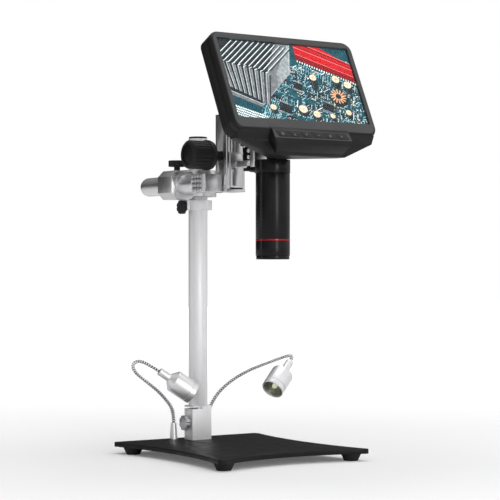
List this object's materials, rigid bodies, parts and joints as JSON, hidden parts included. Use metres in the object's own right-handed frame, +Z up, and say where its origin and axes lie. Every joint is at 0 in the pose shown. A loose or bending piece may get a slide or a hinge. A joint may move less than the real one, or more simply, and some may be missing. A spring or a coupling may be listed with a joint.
{
  "type": "lcd digital microscope",
  "caption": "Bench digital microscope: tilting display head with lens barrel on a rack-and-pinion focus rail, cross clamp and column stand, with gooseneck lamps on the base plate.",
  "frame": {"origin": "centre of the base plate's top face, on which the sample lies", "axes": "+X to the user's right, +Y to the back where the column stands, +Z up along the column; the display faces -Y"},
  "size_m": [0.1802, 0.2746, 0.4201],
  "materials": {
    "black_aluminium": "satin",
    "black_plastic": "matte",
    "black_steel": "satin",
    "board": "satin",
    "brass": "satin",
    "bright_chrome": "polished",
    "glass": "polished",
    "led": "gloss",
    "panel": "gloss",
    "red_paint": "gloss",
    "rubber": "matte",
    "silver_aluminium": "satin",
    "steel": "satin"
  },
  "bodies": {
    "stand": {"base_plate": "black_steel", "rubber_feet": "rubber", "base_screws": "steel", "column_block": "silver_aluminium", "column_stud": "steel", "column_tube": "silver_aluminium", "column_cap": "black_plastic", "lamp_sockets": "bright_chrome"},
    "block_knob": {"block_knob": "steel"},
    "collar": {"safety_collar": "silver_aluminium"},
    "collar_knob": {"collar_knob": "black_plastic"},
    "clamp": {"cross_clamp": "silver_aluminium"},
    "rod_knob": {"rod_knob": "black_plastic"},
    "column_knob": {"column_knob": "black_plastic"},
    "arm": {"arm_rod": "silver_aluminium"},
    "rail": {"rail_bracket": "silver_aluminium", "bracket_screws": "steel", "focus_rail": "silver_aluminium", "rail_end_plate": "silver_aluminium", "shaft_bushes": "brass"},
    "focus": {"pinion_shaft": "steel", "pinion": "brass", "focus_knobs": "black_plastic", "focus_knob_caps": "black_plastic"},
    "slider": {"rack_slide": "silver_aluminium", "carriage": "silver_aluminium", "holder_block": "black_aluminium", "holder_plate": "silver_aluminium", "holder_ring": "black_aluminium", "holder_screws": "steel"},
    "holder_knob": {"holder_knob": "black_plastic"},
    "barrel": {"barrel_tube": "black_aluminium", "red_ring": "red_paint", "barrel_nose": "black_aluminium", "objective_lens": "glass", "lens_cell": "black_aluminium", "sensor_board": "board", "tilt_lug": "black_aluminium"},
    "head": {"front_shell": "black_plastic", "rear_shell": "black_plastic", "lcd_panel": "panel", "screen_glass": "glass", "main_board": "board", "tilt_pin": "steel", "power_jack": "black_plastic"},
    "lamp_left": {"gooseneck_left": "bright_chrome", "lamp_left": "bright_chrome", "lamp_lens_left": "glass", "lamp_led_left": "led"},
    "lamp_right": {"gooseneck_right": "bright_chrome", "lamp_right": "bright_chrome", "lamp_lens_right": "glass", "lamp_led_right": "led"},
    "button_1": {"button_1": "black_plastic"},
    "button_2": {"button_2": "black_plastic"},
    "button_3": {"button_3": "black_plastic"},
    "button_4": {"button_4": "black_plastic"},
    "button_5": {"button_5": "black_plastic"},
    "button_6": {"button_6": "black_plastic"}
  },
  "joints": [
    {"name": "block_knob_turn", "type": "hinge", "parent": "stand", "child": "block_knob", "pos_m": [-0.02, 0.081, 0.018], "axis": [1, 0, 0], "range_deg": [0, 540]},
    {"name": "column_height", "type": "slide", "parent": "stand", "child": "collar", "axis": [0, 0, 1], "range_m": [-0.115, 0.03]},
    {"name": "collar_knob_turn", "type": "hinge", "parent": "collar", "child": "collar_knob", "pos_m": [-0.02, 0.081, 0.2453], "axis": [1, 0, 0], "range_deg": [0, 540]},
    {"name": "arm_swing", "type": "hinge", "parent": "collar", "child": "clamp", "pos_m": [0, 0.081, 0.268], "axis": [0, 0, 1], "range_deg": [-90, 90]},
    {"name": "rod_knob_turn", "type": "hinge", "parent": "clamp", "child": "rod_knob", "pos_m": [-0.026, 0.081, 0.29], "axis": [0, 0, 1], "range_deg": [0, 540]},
    {"name": "column_knob_turn", "type": "hinge", "parent": "clamp", "child": "column_knob", "pos_m": [0.027, 0.081, 0.27025], "axis": [1, 0, 0], "range_deg": [0, 540]},
    {"name": "arm_reach", "type": "slide", "parent": "clamp", "child": "arm", "axis": [0, -1, 0], "range_m": [-0.024, 0.034]},
    {"name": "head_roll", "type": "hinge", "parent": "arm", "child": "rail", "pos_m": [-0.026, 0.03, 0.268], "axis": [0, 1, 0], "range_deg": [-25, 25]},
    {"name": "focus_slide", "type": "slide", "parent": "rail", "child": "slider", "axis": [0, 0, 1], "range_m": [-0.0012, 0.028]},
    {"name": "focus_turn", "type": "hinge", "parent": "rail", "child": "focus", "pos_m": [0, 0.019, 0.296], "axis": [1, 0, 0], "range_deg": [-300, 15]},
    {"name": "holder_knob_turn", "type": "hinge", "parent": "slider", "child": "holder_knob", "pos_m": [0, -0.01725, 0.28], "axis": [0, 0, 1], "range_deg": [0, 540]},
    {"name": "head_swivel", "type": "hinge", "parent": "slider", "child": "barrel", "pos_m": [0, -0.058, 0.281], "axis": [0, 0, 1], "range_deg": [-40, 40]},
    {"name": "screen_tilt", "type": "hinge", "parent": "barrel", "child": "head", "pos_m": [0, -0.068, 0.297], "axis": [-1, 0, 0], "range_deg": [0, 20]},
    {"name": "lamp_left_turn", "type": "hinge", "parent": "stand", "child": "lamp_left", "pos_m": [-0.021, 0.096, 0.017], "axis": [0, 0, 1], "range_deg": [-60, 0]},
    {"name": "lamp_right_turn", "type": "hinge", "parent": "stand", "child": "lamp_right", "pos_m": [0.021, 0.096, 0.017], "axis": [0, 0, 1], "range_deg": [-15, 45]},
    {"name": "button_1_press", "type": "slide", "parent": "head", "child": "button_1", "axis": [0, 0.8575, -0.5145], "range_m": [0, 0.0008], "stiffness_N_per_m": 700},
    {"name": "button_2_press", "type": "slide", "parent": "head", "child": "button_2", "axis": [0, 0.8575, -0.5145], "range_m": [0, 0.0008], "stiffness_N_per_m": 700},
    {"name": "button_3_press", "type": "slide", "parent": "head", "child": "button_3", "axis": [0, 0.8575, -0.5145], "range_m": [0, 0.0008], "stiffness_N_per_m": 700},
    {"name": "button_4_press", "type": "slide", "parent": "head", "child": "button_4", "axis": [0, 0.8575, -0.5145], "range_m": [0, 0.0008], "stiffness_N_per_m": 700},
    {"name": "button_5_press", "type": "slide", "parent": "head", "child": "button_5", "axis": [0, 0.8575, -0.5145], "range_m": [0, 0.0008], "stiffness_N_per_m": 700},
    {"name": "button_6_press", "type": "slide", "parent": "head", "child": "button_6", "axis": [0, 0.8575, -0.5145], "range_m": [0, 0.0008], "stiffness_N_per_m": 700}
  ],
  "couplings": [
    {"joint": "focus_turn", "follows": "focus_slide", "rad_per_m": -181.82}
  ]
}
